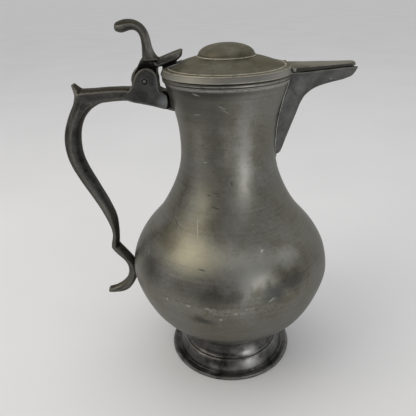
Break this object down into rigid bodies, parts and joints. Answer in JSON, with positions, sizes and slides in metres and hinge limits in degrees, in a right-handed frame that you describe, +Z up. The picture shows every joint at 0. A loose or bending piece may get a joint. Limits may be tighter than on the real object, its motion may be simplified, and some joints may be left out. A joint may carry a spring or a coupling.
{
  "type": "beer stein",
  "caption": "Lidded pewter flagon with a pear-shaped belly, slim neck, covered beak spout, strap handle, hinged domed lid with a thumb lever, and a turned ring foot.",
  "frame": {"origin": "centre of the foot's underside, on the pot's turning axis", "axes": "+Z up along the pot's turning axis, +X towards the spout, -X towards the handle and hinge"},
  "size_m": [0.1784, 0.1348, 0.2362],
  "materials": {
    "pewter_body": "satin aged pewter with a brown-grey patina",
    "pewter_lid": "matte olive-brown pewter patina",
    "pewter_cast": "dark pitted cast pewter",
    "pewter_foot": "dark glossy turned pewter with worn bright edges",
    "pin_metal": "dull peened metal"
  },
  "bodies": {
    "flagon": {"foot_ring": "pewter_foot", "bowl": "pewter_body", "shoulder_and_neck": "pewter_body", "mouth_rim": "pewter_body", "spout": "pewter_cast", "handle": "pewter_cast", "hinge_pin": "pin_metal"},
    "lid_set": {"lid": "pewter_lid", "lid_dome": "pewter_lid", "spout_cover": "pewter_lid", "cover_beads": "pewter_lid", "thumb_lever": "pewter_cast"}
  },
  "joints": [
    {"name": "lid_hinge", "type": "hinge", "parent": "flagon", "child": "lid_set", "pos_m": [-0.0484, 0, 0.2018], "axis": [0, -1, 0], "range_deg": [0, 70]}
  ]
}
